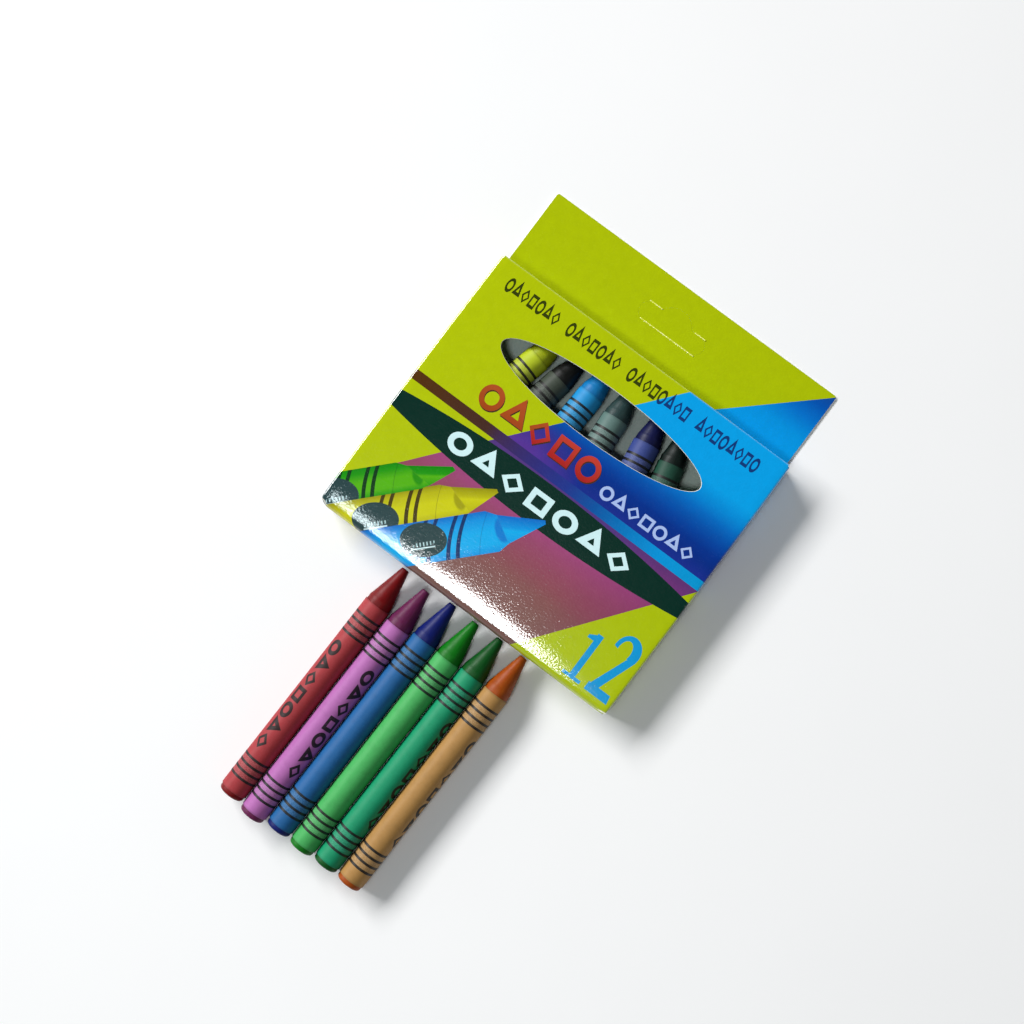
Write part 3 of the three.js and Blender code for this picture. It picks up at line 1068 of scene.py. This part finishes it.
def stickProfile():
    radius, butt, shoulder, tip = stick["radius"], stick["buttRound"], stick["shoulder"], stick["tipRound"]
    neckEnd, coneEnd = stick["neckEnd"], stick["length"] - tip
    profile = [(radius - butt - 1.2, 0.06), (radius - butt, 0.0)]
    profile += [(radius - butt + butt * out, butt * rise) for out, rise in quarter(6)]
    profile += [(radius, z) for z in stick["rings"]]
    profile += [(radius - 0.03, neckEnd - 0.3), (radius - 0.12, neckEnd)]
    neckEnd += stick["shoulderDrop"]
    profile.append((shoulder + 0.06, neckEnd - 0.05))
    coneStart, narrowing = neckEnd + 0.15, stick["tipRadius"] - shoulder
    for share in [i / 10 for i in range(11)]:
        profile.append((shoulder + narrowing * share, coneStart + (coneEnd - coneStart) * share))
    profile += [(stick["tipRadius"] - tip * lost, coneEnd + tip * rise) for rise, lost in quarter(4)]
    return profile + [(stick["tipFlat"], stick["length"])]


def wrapperProfile():
    start, end, outer, inner = wrapper["start"], wrapper["end"], wrapper["radius"], wrapper["inner"]
    outside = [(outer, z) for z in spaced(start + 0.1, end - 0.1, 3.6)]
    inside = [(inner, end), (inner, (start + end) / 2), (inner, start)]
    return [(outer - wrapper["worn"], start)] + outside + [(outer - wrapper["worn"], end)] + inside


def waxOf(name, colour):
    maker = Maker("wax_" + name, waxGain)
    streak = maker.noise(1.6, 4, 0.6, maker.stretched(maker.wrap(), (26, 14, 1)))
    cloud = maker.noise(0.5, 3)
    maker.colour = maker.mix(streak.between(0.42, 0.78), colour, toned(colour, 0.9, 20))
    maker.paint(cloud.between(0.4, 0.75) * 0.3, toned(colour, 0.72))
    scratch = maker.noise(2.4, 5, 0.7)
    normal = maker.bump(scratch, 0.5, 0.00005, maker.bump(streak, 0.35, 0.00006))
    rough = cloud.scaled(0.22, 0.36)
    return maker.finish(rough, normal, specular=0.22, subsurface=0.06, subsurfaceScale=0.001)


def paperOf(name, colour, turn):
    # dyed paper with paler stripes between the bands and a row of plain shapes along it
    maker = Maker("paper_" + name, paperGain)
    around, along = maker.split(maker.wrap())
    start, first = wrapper["start"], wrapper["firstBand"]
    along = along.scaled(stick["length"], -start)
    down = wrapper["end"] - start - along
    nearest = along & down
    fibre = maker.noise(1.7, 5, 0.7)
    maker.colour = maker.mix(fibre.between(0.4, 0.8) * 0.25, colour, toned(colour, 0.8, 50))
    maker.paint(maker.noise(0.42, 3).between(0.45, 0.8) * 0.22, toned(colour, 0.7))
    stripes = nearest - first & first + 3 * wrapper["bandPitch"] - nearest
    grain = maker.noise(3.4, 2).between(0.36, 0.62)
    stripe = maker.mix(grain, toned(colour, 0.62, 18), toned(colour, 0.62, 92))
    maker.paint(stripes.mask(0.2) * 0.42, stripe)
    away = around - (turn % 360) / 360
    across = maker.math("WRAP", away, 0.5, -0.5) * (2 * math.pi * wrapper["radius"])
    row = {"left": wrapper["rowStart"], "right": wrapper["rowEnd"], "low": -wrapper["rowHeight"] / 2,
           "high": wrapper["rowHeight"] / 2, "count": 7, "stroke": 0.52, "fill": 1.1}
    rowMark = shapeRow(maker, down, across, row).mask(0.12)
    patchy = maker.noise(1.3, 3).between(0.28, 0.42)
    maker.paint(rowMark * patchy.scaled(0.12, 0.86), linear(toned(colour, 0.1, 3)))
    maker.paint((0.5 - nearest).mask(0.5) * 0.3, linear(toned(colour, 0.55)))
    return maker.finish(fibre.scaled(0.18, 0.46), maker.bump(fibre, 0.45, 0.00004), specular=0.28)


def bandTree():
    # Geometry Nodes: the inked bands round both ends of a label
    sizes = ("Radius", "Band Width", "Ink Height", "Pitch", "Lower Start", "Upper Start")
    sockets = {**{name: "Float" for name in sizes}, "Count": "Int", "Butt": "Vector", "Turn": "Vector"}
    tree, add, given = newTree("inkBands", sockets)
    circle = add("CurvePrimitiveCircle", {"Resolution": 64, "Radius": given["Radius"]})
    band = {"Width": given["Ink Height"], "Height": given["Band Width"]}
    section = add("CurvePrimitiveQuadrilateral", band)
    ring = add("CurveToMesh", {"Curve": circle, "Profile Curve": section})
    step = addNode(tree, "ShaderNodeCombineXYZ", {2: given["Pitch"]}).outputs[0]
    join = tree.nodes.new("GeometryNodeJoinGeometry")
    for start in ("Lower Start", "Upper Start"):
        first = addNode(tree, "ShaderNodeCombineXYZ", {2: given[start]}).outputs[0]
        line = add("MeshLine", {"Count": given["Count"], "Start Location": first, "Offset": step})
        put(tree, line, join.inputs[0])
    bands = add("InstanceOnPoints", {"Points": join.outputs[0], "Instance": ring})
    bands = add("RealizeInstances", {0: bands})
    bands = add("Transform", {"Geometry": bands, "Translation": given["Butt"], "Rotation": given["Turn"]})
    return endTree(tree, add, bands, given)


def bandInk(name, colour):
    maker = Maker("ink_" + name)
    rubbed = maker.noise(2.0, 3).between(0.5, 0.8)
    maker.colour = maker.mix(rubbed * 0.3, toned(colour, 0.12, 4), toned(colour, 0.5))
    return maker.finish(0.5, maker.bump(rubbed, 0.3, 0.00002), specular=0.35)


def inkBands(name, place, tree, finish):
    first, pitch, count = wrapper["firstBand"], wrapper["bandPitch"], wrapper["bandCount"]
    values = {
        "Radius": wrapper["radius"] * mm, "Band Width": wrapper["bandWidth"] * mm,
        "Ink Height": wrapper["bandDepth"] * mm, "Pitch": pitch * mm,
        "Lower Start": (wrapper["start"] + first + 0.2) * mm,
        "Upper Start": (wrapper["end"] - first - (count - 1) * pitch) * mm,
        "Count": count, "Butt": place.translation * mm, "Turn": place.to_euler(), "Finish": finish,
    }
    return grown("bands_" + name, [], [], tree, values, 40)


def buildCrayons():
    tree = bandTree()
    rng = random.Random(12)
    for name, (paperColour, waxColour) in crayonInks.items():
        place = crayonPlace(name)
        phase, turn = rng.uniform(0, 6.28), labelTurn[name]
        seam = math.radians(turn + wrapper["seamTurn"])

        def waxWobble(a, along):
            slow = 0.018 * math.sin(3 * a + phase + along * 0.21)
            return slow + 0.012 * math.sin(7 * a - along * 0.9 + phase)

        def paperWobble(a, along):
            # the glued overlap stands a little proud beside the seam
            away = (a - seam) % (2 * math.pi)
            overlap = wrapper["overlap"] * max(0.0, 1 - away / wrapper["overlapAngle"])
            return overlap + 0.006 * math.sin(2 * a + along * 0.12 + phase)

        body, label = "crayon_" + name, "label_" + name
        wax = lathed("stick_" + name, stickProfile(), stick["segments"], place,
                     waxOf(name, waxColour), waxWobble, True)
        fit(wax, body, "wax_" + name, body + "_wax")
        paper = lathed("wrapper_" + name, wrapperProfile(), wrapper["segments"], place,
                       paperOf(name, paperColour, turn), paperWobble, False)
        fit(paper, body, label, body + "_label")
        fit(inkBands(name, place, tree, bandInk(name, paperColour)), body, label)
    print("crayons built")


studio = {
    "floorHalf": 4.0,
    "floorDrop": 0.00004,  # keeps the floor just clear of the board
    "key": {"place": (-2.53, 0.32, 1.59), "size": (2.1, 0.78), "watts": 128},
    "glare": {"place": (-0.014, -0.157, 0.6), "size": (0.088, 0.08), "watts": 0.5,
              "target": (-0.005, -0.043, 0.011)},
    "wide": {"place": (-0.06, -0.182, 0.6), "size": (0.22, 0.035), "watts": 0.3,
             "target": (-0.005, -0.043, 0.011), "colour": (0.82, 0.97, 1.0)},
    "sky": ((0.0, (0.45, 0.46, 0.47, 1)), (0.9, (0.015, 0.016, 0.017, 1))),
    "camera": {"place": (0.0167, -0.0194, 0.430), "turn": (2.31, 1.94, 36.89), "lens": 48.9},
}


def floor():
    half, z = studio["floorHalf"], -studio["floorDrop"]
    mesh = bpy.data.meshes.new("floor")
    corners = [(-half, -half, z), (half, -half, z), (half, half, z), (-half, half, z)]
    mesh.from_pydata(corners, [], [(0, 1, 2, 3)])
    maker = Maker("paleFloor")
    maker.colour = maker.mix(maker.noise(0.02, 2), (0.93, 0.93, 0.93, 1), (0.95, 0.95, 0.95, 1))
    mesh.materials.append(maker.finish(0.8, specular=0.2))
    inScene("floor", mesh)


def areaLight(name):
    spec = studio[name]
    light = bpy.data.lights.new(name, "AREA")
    light.shape = "RECTANGLE"
    light.size, light.size_y = spec["size"]
    light.energy = spec["watts"]
    light.color = spec.get("colour", (1, 1, 1))
    lamp = inScene(name, light)
    lamp.location = spec["place"]
    away = Vector(spec.get("target", (0, 0, 0))) - Vector(spec["place"])
    lamp.rotation_euler = away.to_track_quat("-Z", "Y").to_euler()


def sky():
    # soft light from all round, dim overhead so that the coated board doesn't mirror it
    world = bpy.data.worlds.new("softStudio")
    bpy.context.scene.world = world
    world.use_nodes = True
    tree = world.node_tree
    direction = addNode(tree, "ShaderNodeTexCoord").outputs["Generated"]
    height = addNode(tree, "ShaderNodeSeparateXYZ", {0: direction}).outputs[2]
    ramp = addNode(tree, "ShaderNodeValToRGB", {0: height})
    for element, (place, colour) in zip(ramp.color_ramp.elements, studio["sky"]):
        element.position = place
        element.color = colour
    put(tree, ramp.outputs[0], tree.nodes["Background"].inputs[0])
    put(tree, 1.0, tree.nodes["Background"].inputs[1])


def camera():
    spec = studio["camera"]
    data = bpy.data.cameras.new("camera")
    data.lens = spec["lens"]
    data.sensor_width = 36
    data.clip_start = 0.01
    holder = inScene("camera", data)
    holder.location = spec["place"]
    holder.rotation_euler = Euler([math.radians(a) for a in spec["turn"]])
    bpy.context.scene.camera = holder


def buildStudio():
    floor()
    for name in ("key", "glare", "wide"):
        areaLight(name)
    sky()
    camera()
    bpy.context.scene.view_settings.view_transform = "Standard"
    bpy.context.scene.view_settings.look = "None"
    print("studio lit")


buildCarton()
buildCrayons()
buildStudio()
